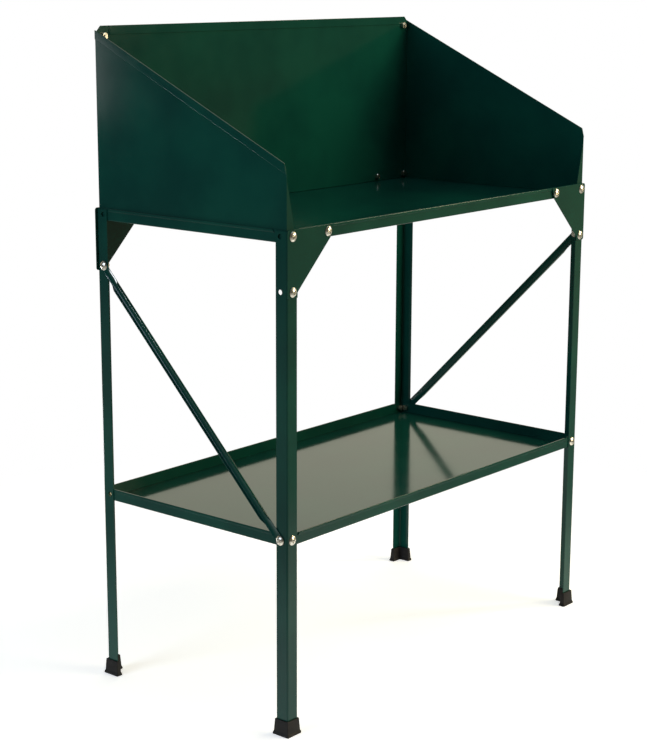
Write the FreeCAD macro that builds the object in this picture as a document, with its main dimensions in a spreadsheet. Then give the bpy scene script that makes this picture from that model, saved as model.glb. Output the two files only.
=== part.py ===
import FreeCAD, Part
import os
import re
import Sketcher
from FreeCAD import Rotation, Vector

# Steel potting bench, flat-packed and bolted together.
#
# Four pressed angle legs stand in moulded shoes and hold two rimmed trays, a worktop and a
# lower shelf. Gusset plates stiffen the worktop corners across the front and the rear, a
# channel brace crosses each end, and a back panel and two sloping side panels stand inside
# the worktop rim. Everything is held by M6 mushroom-head bolts and hexagon nuts.
#
# The origin is on the floor under the centre of the bench. X runs to the right along the
# front, Y runs from the front to the rear and Z runs up. Sizes are in millimetres.

SIZES = [
    ("width", 760, "left to right over the outer faces of the legs"),
    ("depth", 382, "front to rear over the outer faces of the legs"),
    ("worktop_height", 747.5, "floor to the top of the worktop rim"),
    ("shelf_height", 308.5, "floor to the top of the shelf rim"),
    ("rim_depth", 18.5, "height of the rim of either tray, floor sheet included"),
    ("tray_sheet", 1, "sheet that the trays are pressed from"),
    ("tray_bend", 1.5, "outside radius of the folds of a tray"),
    ("hem_drop", 4.5, "height of the hem folded out along the top of a rim"),
    ("hem_round", 1.1, "radius over the top of a hem"),
    ("hem_gap", 3, "gap between a hem's end and the leg beside it"),
    ("hem_cut", 3, "slant cut off each end of a hem"),
    ("leg_flange", 21, "width of each flange of a leg, over the outside"),
    ("leg_sheet", 1.5, "sheet that the legs are pressed from"),
    ("leg_bend", 1, "inside radius of the fold of a leg"),
    ("leg_top_drop", 1.5, "worktop rim down to the top of a leg"),
    ("side_hole_inset", 13, "outer front or rear face of a leg to its holes facing sideways"),
    ("hole_pitch", 78, "worktop bolts down to the gusset and brace bolts of a leg"),
    ("gusset_sheet", 1.5, "plate that the gussets are cut from"),
    ("gusset_reach", 99, "length of a gusset along the rim, from the leg's outer face"),
    ("gusset_slant", 7, "inward slant of a gusset's end over the depth of the rim"),
    ("gusset_tail", 8.5, "lower bolt of a gusset down to its bottom edge"),
    ("gusset_neck", 1, "lower bolt of a gusset down to the end of its long slant"),
    ("gusset_corner", 4, "rounding of a gusset's outer corners"),
    ("rim_hole_pitch", 76, "corner bolt to the rim bolt of a gusset"),
    ("front_overhang", 0.5, "front gusset past the leg's outer face"),
    ("rear_overhang", 3, "rear gusset past the leg's outer face"),
    ("panel_sheet", 1, "sheet that the back and side panels are pressed from"),
    ("panel_gap", 0.5, "gap under the panels and between the panels' folded edges"),
    ("back_rise", 269.5, "worktop rim up to the top of the back panel"),
    ("back_corner_cut", 8, "slant cut off the top corners of the back panel"),
    ("back_hem_inset", 29, "leg's outer face to the end of the back panel's hem"),
    ("back_bolt_drop", 15.5, "top of the back panel down to its top bolts"),
    ("back_bolt_inset", 17, "leg's outer face to the back panel's top bolts"),
    ("panel_hem", 13.5, "height of the hem folded over along the top of a panel"),
    ("side_drop", 6.5, "back panel's top down to the rear end of a side panel"),
    ("side_front_rise", 90, "worktop rim up to the front end of a side panel"),
    ("side_set_back", 4, "slant of a side panel's front edge over its hem"),
    ("front_flange_foot", 16, "width of a side panel's front flange at the bottom"),
    ("front_flange_tip", 1.5, "width of a side panel's front flange at the top"),
    ("front_flange_drop", 25, "top of a side panel down to its front flange"),
    ("rear_flange", 25, "width of a side panel's rear flange"),
    ("brace_width", 14, "width of a brace"),
    ("brace_sheet", 1.2, "sheet that the braces are pressed from"),
    ("brace_end_flat", 0.2, "straight stretch in the middle of a brace's round end"),
    ("brace_lip", 4.5, "height of a brace's two lips over its web"),
    ("brace_flat", 31, "flattened end of a brace, from its bolt to its lips"),
    ("brace_ramp", 6, "slope at the ends of the lips"),
    ("foot_height", 24, "height of a shoe"),
    ("foot_sole", 4, "thickness of a shoe under its leg"),
    ("foot_wall", 2.3, "wall of a shoe round its leg, at the top"),
    ("foot_grip", 0.1, "clearance between a leg's faces and its shoe"),
    ("foot_draft", 4, "slope of a shoe's walls, in degrees"),
    ("foot_rim", 4.5, "height of the rim round a shoe's sole"),
    ("foot_flare", 2.9, "reach of that rim past the top of the wall"),
    ("foot_round", 1.2, "rounding of a shoe's edges"),
    ("bolt_diameter", 6, "thread diameter of the bolts"),
    ("hole_clearance", 1.6, "bolt holes over the thread diameter"),
    ("tip_gap", 0.2, "gap between the tip of one bolt and the bolt that crosses it in a leg"),
    ("nut_gap", 0.5, "gap between a nut and the bolt that passes its end in a leg"),
    ("head_diameter", 14.5, "diameter of a bolt's head"),
    ("head_height", 3.8, "height of a bolt's head"),
    ("head_edge", 0.7, "upright edge round a bolt's head"),
    ("slot_width", 1.4, "width of the cross slot in a bolt's head"),
    ("slot_depth", 1.3, "depth of the cross slot in a bolt's head"),
    ("slot_length", 8, "length of the cross slot in a bolt's head"),
    ("nut_flats", 10, "width of a nut across its flats"),
    ("nut_height", 5, "height of a nut"),
    ("thread_clearance", 0.1, "nut's bore over the thread diameter"),
]
NAMES = {alias for alias, _, _ in SIZES}

# Distances that many pieces share, each from the middle of the bench or from the floor.
LEG_X = "width / 2"
LEG_Y = "depth / 2"
TRAY_X = "(width / 2 - leg_sheet)"
TRAY_Y = "(depth / 2 - leg_sheet)"
RIM_X = "(width / 2 - leg_sheet - tray_sheet)"
RIM_Y = "(depth / 2 - leg_sheet - tray_sheet)"
CORNER_INSET = "(leg_sheet + tray_sheet + nut_height + nut_gap + bolt_diameter / 2)"
CORNER_X = f"(width / 2 - {CORNER_INSET})"
BACK_BOLT_X = "(width / 2 - back_bolt_inset)"
SIDE_HOLE_Y = "(depth / 2 - side_hole_inset)"
RIM_HOLE_X = f"(width / 2 - {CORNER_INSET} - rim_hole_pitch)"
TOP_BOLT_Z = "(worktop_height - rim_depth / 2)"
LOW_BOLT_Z = "(worktop_height - rim_depth / 2 - hole_pitch)"
SHELF_BOLT_Z = "(shelf_height - rim_depth / 2)"
BACK_TOP_Z = "(worktop_height + back_rise)"
BACK_BOLT_Z = "(worktop_height + back_rise - back_bolt_drop)"
PANEL_FOOT_Z = "(worktop_height - rim_depth + tray_sheet + panel_gap)"
BACK_PANEL_Y = "(depth / 2 - leg_sheet - tray_sheet - 2 * panel_sheet)"
HOLE = "bolt_diameter + hole_clearance"
LONG_BOLT = "(gusset_sheet + side_hole_inset - bolt_diameter / 2 - tip_gap)"
SHORT_BOLT = f"(brace_sheet + {CORNER_INSET} - bolt_diameter / 2 - tip_gap)"

SIDES = {"left": -1, "right": 1}
ENDS = {"front": -1, "rear": 1}
PLANES = {"X": "YZ_Plane", "Y": "XZ_Plane", "Z": "XY_Plane"}
LENGTH_TOLERANCE = 0.001
PLACE_TOLERANCE = 0.01

doc = FreeCAD.newDocument("PottingBench")
sheet = doc.addObject("Spreadsheet::Sheet", "Sizes")
for row, (alias, value, meaning) in enumerate(SIZES, start=1):
    sheet.set(f"A{row}", alias)
    sheet.set(f"B{row}", str(value))
    sheet.set(f"C{row}", meaning)
    sheet.setAlias(f"B{row}", alias)
doc.recompute()


def formula(text):
    """Turn a formula in the sheet's names into one that the expression engine reads."""
    return re.sub(r"[a-z_]+", lambda m: f"Sizes.{m[0]}" if m[0] in NAMES else m[0], text)


def number(text):
    """Work a formula out as a plain number."""
    return float(sheet.evalExpression(formula(text)))


def between(sign, inner, outer):
    """Order two distances from the middle for the side that sign gives, lowest first."""
    if sign > 0:
        return inner, outer
    return f"-({outer})", f"-({inner})"


def new_body(name):
    """Start the body of one piece, whose label names its file."""
    body = doc.addObject("PartDesign::Body", name)
    body.Label = name
    return body


def new_sketch(body, name, axis, place):
    """Start a sketch square to an axis, at a place along it.

    The sketch plane square to Y faces the front, so its offset runs the other way.
    """
    sketch = body.newObject("Sketcher::SketchObject", name)
    plane = [item for item in body.Origin.OriginFeatures if item.Role == PLANES[axis]][0]
    sketch.AttachmentSupport = [(plane, "")]
    sketch.MapMode = "FlatFace"
    offset = f"-({place})" if axis == "Y" else place
    sketch.setExpression("AttachmentOffset.Base.z", formula(offset))
    return sketch


def hold(sketch, kind, geometry, point, text, name):
    """Tie one coordinate of a point, or one diameter, to a formula."""
    value = number(text)
    if kind == "Diameter":
        index = sketch.addConstraint(Sketcher.Constraint(kind, geometry, value))
    else:
        index = sketch.addConstraint(Sketcher.Constraint(kind, -1, 1, geometry, point, value))
    sketch.renameConstraint(index, name)
    sketch.setExpression(f"Constraints.{name}", formula(text))


def draw_outline(sketch, corners):
    """Draw a closed outline of straight lines, each corner tied to its two formulas."""
    spots = [Vector(number(across), number(up), 0) for across, up in corners]
    count = len(spots)
    for index in range(count):
        sketch.addGeometry(Part.LineSegment(spots[index], spots[(index + 1) % count]), False)
    for index in range(count):
        sketch.addConstraint(Sketcher.Constraint("Coincident", index, 2, (index + 1) % count, 1))
    for index, (across, up) in enumerate(corners):
        hold(sketch, "DistanceX", index, 1, across, f"across_{index}")
        hold(sketch, "DistanceY", index, 1, up, f"up_{index}")


def draw_holes(sketch, centres):
    """Draw bolt holes, each centre tied to its two formulas."""
    for index, (across, up) in enumerate(centres):
        centre = Vector(number(across), number(up), 0)
        sketch.addGeometry(Part.Circle(centre, Vector(0, 0, 1), number(HOLE) / 2), False)
        hold(sketch, "DistanceX", index, 3, across, f"across_{index}")
        hold(sketch, "DistanceY", index, 3, up, f"up_{index}")
        hold(sketch, "Diameter", index, 0, HOLE, f"bore_{index}")


def add_slab(body, name, axis, low, high, corners):
    """Add an outline padded along an axis, from low to high."""
    sketch = new_sketch(body, f"{name}_sketch", axis, high if axis == "Y" else low)
    draw_outline(sketch, corners)
    pad = body.newObject("PartDesign::Pad", name)
    pad.Profile = sketch
    pad.setExpression("Length", formula(f"{high} - ({low})"))
    doc.recompute()
    return pad


def cut_slab(body, name, axis, low, high, draw, items):
    """Cut what draw makes of items along an axis, from low to high, and see that it cuts."""
    before = body.Shape.Volume
    sketch = new_sketch(body, f"{name}_sketch", axis, low if axis == "Y" else high)
    draw(sketch, items)
    pocket = body.newObject("PartDesign::Pocket", name)
    pocket.Profile = sketch
    pocket.setExpression("Length", formula(f"{high} - ({low})"))
    doc.recompute()
    if body.Shape.Volume >= before:
        raise ValueError(f"{body.Label}: {name} cuts nothing")
    return pocket


def straight_edges(shape, axis, spots):
    """Name the straight edges along an axis that pass through the given spots.

    A spot gives the two other coordinates, in the order of the axes.
    """
    along = "XYZ".index(axis)
    others = [index for index in range(3) if index != along]
    names = []
    for index, edge in enumerate(shape.Edges, start=1):
        ends = [vertex.Point for vertex in edge.Vertexes]
        if len(ends) != 2:
            continue
        if abs(abs(ends[1][along] - ends[0][along]) - edge.Length) > LENGTH_TOLERANCE:
            continue
        middle = edge.CenterOfMass
        for spot in spots:
            misses = [abs(middle[other] - place) for other, place in zip(others, spot)]
            if max(misses) < PLACE_TOLERANCE:
                names.append(f"Edge{index}")
    return names


def add_fillet(body, name, radius, edges):
    """Round the named edges of a body's last feature."""
    if not edges:
        raise ValueError(f"{body.Label}: {name} finds no edge")
    base = body.Tip
    fillet = body.newObject("PartDesign::Fillet", name)
    fillet.Base = (base, edges)
    fillet.setExpression("Radius", formula(radius))
    doc.recompute()
    return fillet


def make_leg(end, side):
    """Make one angle leg, its fold outward at the corner of the bench."""
    y_sign, x_sign = ENDS[end], SIDES[side]
    body = new_body(f"leg_{end}_{side}")

    def corner(x, y):
        return f"{x_sign} * (width / 2 - {x})", f"{y_sign} * (depth / 2 - {y})"

    add_slab(body, "angle", "Z", "foot_sole", "(worktop_height - leg_top_drop)", [
        corner("0", "0"),
        corner("leg_flange", "0"),
        corner("leg_flange", "leg_sheet"),
        corner("leg_sheet", "leg_sheet"),
        corner("leg_sheet", "leg_flange"),
        corner("0", "leg_flange"),
    ])
    for name, depth_in, radius in (
        ("outer_fold", "0", "leg_bend + leg_sheet"),
        ("inner_fold", "leg_sheet", "leg_bend"),
    ):
        spot = [number(text) for text in corner(depth_in, depth_in)]
        add_fillet(body, name, radius, straight_edges(body.Shape, "Z", [spot]))
    heights = (TOP_BOLT_Z, LOW_BOLT_Z, SHELF_BOLT_Z)
    low, high = between(y_sign, f"({LEG_Y} - leg_flange)", f"({LEG_Y})")
    holes = [(f"{x_sign} * {CORNER_X}", height) for height in heights]
    cut_slab(body, "front_holes", "Y", low, high, draw_holes, holes)
    low, high = between(x_sign, f"({LEG_X} - leg_flange)", f"({LEG_X})")
    holes = [(f"{y_sign} * {SIDE_HOLE_Y}", height) for height in heights]
    cut_slab(body, "side_holes", "X", low, high, draw_holes, holes)


def make_tray(name, top, rim_holes, side_holes):
    """Make one rimmed tray with a hem folded out along the top of each side."""
    body = new_body(name)
    base = f"({top} - rim_depth)"

    def rectangle(x, y):
        return [(f"-{x}", f"-{y}"), (x, f"-{y}"), (x, y), (f"-{x}", y)]

    add_slab(body, "blank", "Z", base, top, rectangle(TRAY_X, TRAY_Y))
    x, y, z = number(TRAY_X), number(TRAY_Y), number(base)
    folds = straight_edges(body.Shape, "Z", [(-x, -y), (x, -y), (x, y), (-x, y)])
    folds += straight_edges(body.Shape, "X", [(-y, z), (y, z)])
    folds += straight_edges(body.Shape, "Y", [(-x, z), (x, z)])
    add_fillet(body, "folds", "tray_bend", folds)
    floor = f"({base} + tray_sheet)"
    cut_slab(body, "hollow", "Z", floor, top, draw_outline, rectangle(RIM_X, RIM_Y))
    for axis, wall, half_length in (
        ("Y", TRAY_Y, "(width / 2 - leg_flange - hem_gap)"),
        ("X", TRAY_X, "(depth / 2 - leg_flange - hem_gap)"),
    ):
        for sign in (-1, 1):
            low, high = between(sign, wall, f"({wall} + leg_sheet)")
            add_slab(body, f"hem_{axis}_{'low' if sign < 0 else 'high'}", axis, low, high, [
                (f"-{half_length}", f"({top} - hem_drop)"),
                (half_length, f"({top} - hem_drop)"),
                (f"({half_length} - hem_cut)", top),
                (f"-({half_length} - hem_cut)", top),
            ])
    z = number(top)
    x, y = number(LEG_X), number(LEG_Y)
    rounds = straight_edges(body.Shape, "X", [(-y, z), (y, z)])
    rounds += straight_edges(body.Shape, "Y", [(-x, z), (x, z)])
    add_fillet(body, "hem_rounds", "hem_round", rounds)
    height = f"({top} - rim_depth / 2)"
    for axis, wall, places in (("Y", TRAY_Y, rim_holes), ("X", TRAY_X, side_holes)):
        holes = [(f"{sign} * {place}", height) for place in places for sign in (-1, 1)]
        cut_slab(body, f"holes_{axis}", axis, f"-{wall}", wall, draw_holes, holes)


def make_gusset(end, side):
    """Make one gusset plate, flat on the outer face of a leg."""
    y_sign, x_sign = ENDS[end], SIDES[side]
    body = new_body(f"gusset_{end}_{side}")
    low, high = between(y_sign, f"({LEG_Y})", f"({LEG_Y} + gusset_sheet)")
    outer = f"{x_sign} * (width / 2 + {end}_overhang)"
    rim_end = f"{x_sign} * (width / 2 - gusset_reach)"
    bottom = f"({LOW_BOLT_Z} - gusset_tail)"
    leg_edge = f"{x_sign} * (width / 2 - leg_flange)"
    add_slab(body, "plate", "Y", low, high, [
        (outer, "worktop_height"),
        (rim_end, "worktop_height"),
        (f"{x_sign} * (width / 2 - gusset_reach + gusset_slant)", "(worktop_height - rim_depth)"),
        (leg_edge, f"({LOW_BOLT_Z} - gusset_neck)"),
        (leg_edge, bottom),
        (outer, bottom),
    ])
    x = number(outer)
    spots = [(x, number("worktop_height")), (x, number(bottom))]
    add_fillet(body, "outer_corners", "gusset_corner", straight_edges(body.Shape, "Y", spots))
    holes = [
        (f"{x_sign} * {CORNER_X}", TOP_BOLT_Z),
        (f"{x_sign} * {RIM_HOLE_X}", TOP_BOLT_Z),
        (f"{x_sign} * {CORNER_X}", LOW_BOLT_Z),
    ]
    cut_slab(body, "holes", "Y", low, high, draw_holes, holes)


def make_side_panel(side):
    """Make one side panel: a sloping top with a hem, and front and rear flanges."""
    sign = SIDES[side]
    body = new_body(f"side_panel_{side}")
    front = f"-{RIM_Y}"
    rear_top = f"({BACK_TOP_Z} - side_drop)"
    front_top = "(worktop_height + side_front_rise)"
    slope = f"(({rear_top} - {front_top}) / (2 * {RIM_Y}))"
    hem_front = f"({front} + side_set_back)"
    hem_top = f"({front_top} + {slope} * side_set_back)"
    low, high = between(sign, f"({RIM_X} - panel_sheet)", RIM_X)
    add_slab(body, "plate", "X", low, high, [
        (front, PANEL_FOOT_Z),
        (RIM_Y, PANEL_FOOT_Z),
        (RIM_Y, rear_top),
        (hem_front, hem_top),
        (front, f"({front_top} - panel_hem)"),
    ])
    low, high = between(sign, RIM_X, f"({RIM_X} + panel_sheet)")
    add_slab(body, "hem", "X", low, high, [
        (front, f"({front_top} - panel_hem)"),
        (RIM_Y, f"({rear_top} - panel_hem)"),
        (RIM_Y, rear_top),
        (hem_front, hem_top),
    ])
    shoulder = f"({front_top} - front_flange_drop)"
    add_slab(body, "front_flange", "Y", front, f"({front} + panel_sheet)", [
        (f"{sign} * ({RIM_X} - panel_sheet / 2)", PANEL_FOOT_Z),
        (f"{sign} * ({RIM_X} - panel_sheet / 2)", shoulder),
        (f"{sign} * ({RIM_X} - front_flange_tip)", shoulder),
        (f"{sign} * ({RIM_X} - front_flange_foot)", "worktop_height"),
        (f"{sign} * ({RIM_X} - front_flange_foot)", PANEL_FOOT_Z),
    ])
    add_slab(body, "rear_flange", "Y", f"({RIM_Y} - panel_sheet)", RIM_Y, [
        (f"{sign} * ({RIM_X} - panel_sheet / 2)", PANEL_FOOT_Z),
        (f"{sign} * ({RIM_X} - panel_sheet / 2)", f"({rear_top} - 2 * panel_sheet)"),
        (f"{sign} * ({RIM_X} - rear_flange)", f"({rear_top} - 2 * panel_sheet)"),
        (f"{sign} * ({RIM_X} - rear_flange)", PANEL_FOOT_Z),
    ])
    holes = [(f"{sign} * {CORNER_X}", TOP_BOLT_Z)]
    cut_slab(body, "front_hole", "Y", front, f"({front} + panel_sheet)", draw_holes, holes)
    holes = [(f"{sign} * {CORNER_X}", TOP_BOLT_Z), (f"{sign} * {BACK_BOLT_X}", BACK_BOLT_Z)]
    cut_slab(body, "rear_holes", "Y", f"({RIM_Y} - panel_sheet)", RIM_Y, draw_holes, holes)


def make_back_panel():
    """Make the back panel, in front of the side panels' rear flanges."""
    body = new_body("back_panel")
    half = f"({RIM_X} - panel_sheet - panel_gap)"
    low, high = BACK_PANEL_Y, f"({BACK_PANEL_Y} + panel_sheet)"
    add_slab(body, "plate", "Y", low, high, [
        (f"-{half}", PANEL_FOOT_Z),
        (half, PANEL_FOOT_Z),
        (half, f"({BACK_TOP_Z} - back_corner_cut)"),
        (f"({half} - back_corner_cut)", BACK_TOP_Z),
        (f"-({half} - back_corner_cut)", BACK_TOP_Z),
        (f"-{half}", f"({BACK_TOP_Z} - back_corner_cut)"),
    ])
    end = f"({LEG_X} - back_hem_inset)"
    add_slab(body, "hem", "Y", f"({low} - panel_sheet)", low, [
        (f"-({end})", f"({BACK_TOP_Z} - panel_hem)"),
        (end, f"({BACK_TOP_Z} - panel_hem)"),
        (end, BACK_TOP_Z),
        (f"-({end})", BACK_TOP_Z),
    ])
    spots = ((CORNER_X, TOP_BOLT_Z), (RIM_HOLE_X, TOP_BOLT_Z), (BACK_BOLT_X, BACK_BOLT_Z))
    holes = [(f"{sign} * {across}", up) for across, up in spots for sign in (-1, 1)]
    cut_slab(body, "holes", "Y", low, high, draw_holes, holes)


def make_brace(side, high_end):
    """Make one channel brace, from the bolt at its high end down to the other leg.

    It is drawn flat, with the high bolt at its origin and its length along X, then turned
    to stand on the outer face of the legs.
    """
    x_sign, y_sign = SIDES[side], ENDS[high_end]
    body = new_body(f"brace_{side}")
    run = f"(2 * {SIDE_HOLE_Y})"
    fall = f"({LOW_BOLT_Z} - {SHELF_BOLT_Z})"
    length = f"sqrt({run} ^ 2 + {fall} ^ 2)"
    half = "(brace_width / 2)"
    add_slab(body, "web", "Z", "0", "brace_sheet", [
        (f"-{half}", f"-{half}"),
        (f"({length} + {half})", f"-{half}"),
        (f"({length} + {half})", half),
        (f"-{half}", half),
    ])
    x_low, x_high, y = number(f"-{half}"), number(f"({length} + {half})"), number(half)
    spots = [(x, place) for x in (x_low, x_high) for place in (-y, y)]
    ends = straight_edges(body.Shape, "Z", spots)
    add_fillet(body, "round_ends", "(brace_width - brace_end_flat) / 2", ends)
    for sign, name in ((-1, "lower_lip"), (1, "upper_lip")):
        low, high = between(sign, f"({half} - brace_sheet)", half)
        add_slab(body, name, "Y", low, high, [
            ("brace_flat", "brace_sheet / 2"),
            ("(brace_flat + brace_ramp)", "(brace_sheet + brace_lip)"),
            (f"({length} - brace_flat - brace_ramp)", "(brace_sheet + brace_lip)"),
            (f"({length} - brace_flat)", "brace_sheet / 2"),
        ])
    cut_slab(body, "holes", "Z", "0", "brace_sheet", draw_holes, [("0", "0"), (length, "0")])
    tilt = number(f"atan2({fall}; {run})")
    along = Rotation(Vector(1, 0, 0), tilt if y_sign < 0 else -tilt)
    outward = Vector(x_sign, 0, 0)
    down = along.inverted().multVec(Vector(0, -y_sign, 0))
    body.Placement.Rotation = Rotation(down, Vector(0, 0, 0), outward, "XZY")
    body.setExpression("Placement.Base.x", formula(f"{x_sign} * {LEG_X}"))
    body.setExpression("Placement.Base.y", formula(f"{y_sign} * {SIDE_HOLE_Y}"))
    body.setExpression("Placement.Base.z", formula(LOW_BOLT_Z))


def make_foot(end, side):
    """Make one moulded shoe: an angle-shaped socket with a rim round its sole."""
    y_sign, x_sign = ENDS[end], SIDES[side]
    body = new_body(f"foot_{end}_{side}")

    def angle(outside, inside):
        """Outline an angle that stands past the leg's outer, and its inner, faces."""
        reach = f"(leg_flange + {inside})"
        back = f"(leg_sheet + {inside})"
        spots = [
            (f"-({outside})", f"-({outside})"),
            (reach, f"-({outside})"),
            (reach, back),
            (back, back),
            (back, reach),
            (f"-({outside})", reach),
        ]
        return [
            (f"{x_sign} * (width / 2 - {x})", f"{y_sign} * (depth / 2 - {y})")
            for x, y in spots
        ]

    widen = "(foot_height * tan(foot_draft))"
    wall = f"(foot_wall + {widen})"
    collar = add_slab(body, "collar", "Z", "0", "foot_height", angle(wall, wall))
    collar.setExpression("TaperAngle", formula("-foot_draft"))
    doc.recompute()
    flare = "(foot_wall + foot_flare)"
    add_slab(body, "sole", "Z", "0", "foot_rim", angle(flare, flare))
    x, y = [number(text) for text in angle(flare, flare)[0]]
    z = number("foot_rim")
    spots = {
        "Z": [[number(text) for text in spot] for spot in angle(flare, flare)],
        "X": [(y, z)],
        "Y": [(x, z)],
    }
    edges = [name for axis in "XYZ" for name in straight_edges(body.Shape, axis, spots[axis])]
    add_fillet(body, "rim_rounds", "foot_round", edges)
    socket = angle("foot_grip", "foot_grip")
    cut_slab(body, "socket", "Z", "foot_sole", "foot_height", draw_outline, socket)
    fold = [number(text) for text in socket[3]]
    add_fillet(body, "socket_fold", "leg_bend", straight_edges(body.Shape, "Z", [fold]))


def add_piece(kind, name, **formulas):
    """Add one of the Part workbench's solids, each size tied to a formula."""
    piece = doc.addObject(kind, name)
    for size, text in formulas.items():
        piece.setExpression(size, formula(text))
    return piece


def make_bolt(name, length):
    """Make one mushroom-head bolt: underside of the head at the origin, head upward."""
    shank_sizes = {"Radius": "bolt_diameter / 2", "Height": length}
    shank = add_piece("Part::Cylinder", f"{name}_shank", **shank_sizes)
    shank.setExpression("Placement.Base.z", formula(f"-{length}"))
    rim_sizes = {"Radius": "head_diameter / 2", "Height": "head_height"}
    rim = add_piece("Part::Cylinder", f"{name}_rim", **rim_sizes)
    rise = "(head_height - head_edge)"
    crown = f"(((head_diameter / 2) ^ 2 + {rise} ^ 2) / (2 * {rise}))"
    dome = add_piece("Part::Sphere", f"{name}_dome", Radius=crown)
    dome.setExpression("Placement.Base.z", formula(f"head_height - {crown}"))
    head = doc.addObject("Part::Common", f"{name}_head")
    head.Base, head.Tool = rim, dome
    whole = doc.addObject("Part::Fuse", f"{name}_blank")
    whole.Base, whole.Tool = head, shank
    for turn, (long_side, short_side) in enumerate((("Length", "Width"), ("Width", "Length"))):
        sizes = {long_side: "slot_length", short_side: "slot_width", "Height": "slot_depth"}
        slot = add_piece("Part::Box", f"{name}_slot_{turn}", **sizes)
        centre = {"Length": "x", "Width": "y"}
        slot.setExpression(f"Placement.Base.{centre[long_side]}", formula("-slot_length / 2"))
        slot.setExpression(f"Placement.Base.{centre[short_side]}", formula("-slot_width / 2"))
        slot.setExpression("Placement.Base.z", formula("head_height - slot_depth"))
        cut = doc.addObject("Part::Cut", f"{name}_cut_{turn}")
        cut.Base, cut.Tool = whole, slot
        whole = cut
    return whole


def make_nut():
    """Make one hexagon nut: clamping face at the origin, corners up and down, body below."""
    hexagon = add_piece("Part::Prism", "nut_hexagon", Height="nut_height")
    hexagon.Polygon = 6
    hexagon.setExpression("Circumradius", formula("nut_flats / 2 / cos(30)"))
    hexagon.Placement.Rotation = Rotation(Vector(0, 0, 1), 30)
    hexagon.setExpression("Placement.Base.z", formula("-nut_height"))
    bore = add_piece("Part::Cylinder", "nut_bore", Height="nut_height")
    bore.setExpression("Radius", formula("(bolt_diameter + thread_clearance) / 2"))
    bore.setExpression("Placement.Base.z", formula("-nut_height"))
    nut = doc.addObject("Part::Cut", "nut")
    nut.Base, nut.Tool = hexagon, bore
    return nut


def place_copies(name, pattern, axis, places):
    """Gather copies of a fastener in one piece.

    A place is the sign of the outward direction along the axis and the three formulas of
    the point that the fastener's origin sits on.
    """
    group = doc.addObject("Part::Compound", name)
    group.Label = name
    copies = []
    for index, (sign, point) in enumerate(places):
        copy = doc.addObject("App::Link", f"{name}_{index}")
        copy.LinkedObject = pattern
        outward = Vector(sign, 0, 0) if axis == "X" else Vector(0, sign, 0)
        copy.Placement.Rotation = Rotation(Vector(0, 0, 0), Vector(0, 0, 1), outward, "ZYX")
        for coordinate, text in zip("xyz", point):
            copy.setExpression(f"Placement.Base.{coordinate}", formula(text))
        copies.append(copy)
    group.Links = copies
    doc.recompute()
    return group


def bolt_gusset(end, side, bolt, nut):
    """Bolt one gusset through the corner, the rim and the leg."""
    y, x = ENDS[end], SIDES[side]
    panel = {"front": f"({RIM_Y} - panel_sheet)", "rear": BACK_PANEL_Y}[end]
    rim = {"front": RIM_Y, "rear": BACK_PANEL_Y}[end]
    joints = (
        (CORNER_X, TOP_BOLT_Z, panel),
        (RIM_HOLE_X, TOP_BOLT_Z, rim),
        (CORNER_X, LOW_BOLT_Z, TRAY_Y),
    )
    face = f"{y} * ({LEG_Y} + gusset_sheet)"
    heads = [(y, (f"{x} * {across}", face, up)) for across, up, _ in joints]
    backs = [(y, (f"{x} * {across}", f"{y} * {inside}", up)) for across, up, inside in joints]
    place_copies(f"bolts_gusset_{end}_{side}", bolt, "Y", heads)
    place_copies(f"nuts_gusset_{end}_{side}", nut, "Y", backs)


def bolt_shelf(bolt, nut):
    """Bolt the shelf's front and rear rims to the four legs."""
    corners = [(y, x) for y in ENDS.values() for x in SIDES.values()]
    heads = [(y, (f"{x} * {CORNER_X}", f"{y} * {LEG_Y}", SHELF_BOLT_Z)) for y, x in corners]
    backs = [(y, (f"{x} * {CORNER_X}", f"{y} * {RIM_Y}", SHELF_BOLT_Z)) for y, x in corners]
    place_copies("bolts_shelf", bolt, "Y", heads)
    place_copies("nuts_shelf", nut, "Y", backs)


def bolt_back_panel(bolt, nut):
    """Bolt the top corners of the back panel to the side panels' rear flanges."""
    signs = SIDES.values()
    heads = [(1, (f"{x} * {BACK_BOLT_X}", RIM_Y, BACK_BOLT_Z)) for x in signs]
    backs = [(1, (f"{x} * {BACK_BOLT_X}", BACK_PANEL_Y, BACK_BOLT_Z)) for x in signs]
    place_copies("bolts_back_panel", bolt, "Y", heads)
    place_copies("nuts_back_panel", nut, "Y", backs)


def bolt_brace(side, high_end, bolt, nut):
    """Bolt one brace to its two legs, through the shelf's rim at the low end."""
    x, y = SIDES[side], ENDS[high_end]
    outside = f"{x} * ({LEG_X} + brace_sheet)"
    joints = ((y, LOW_BOLT_Z, TRAY_X), (-y, SHELF_BOLT_Z, RIM_X))
    heads = [(x, (outside, f"{sign} * {SIDE_HOLE_Y}", up)) for sign, up, _ in joints]
    backs = [(x, (f"{x} * {inside}", f"{sign} * {SIDE_HOLE_Y}", up)) for sign, up, inside in joints]
    place_copies(f"bolts_brace_{side}", bolt, "X", heads)
    place_copies(f"nuts_brace_{side}", nut, "X", backs)


for end_name in ENDS:
    for side_name in SIDES:
        make_leg(end_name, side_name)
        make_gusset(end_name, side_name)
        make_foot(end_name, side_name)
make_tray("worktop_tray", "worktop_height", (CORNER_X, RIM_HOLE_X), (SIDE_HOLE_Y,))
make_tray("lower_shelf", "shelf_height", (CORNER_X,), (SIDE_HOLE_Y,))
make_back_panel()
for side_name in SIDES:
    make_side_panel(side_name)

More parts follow.
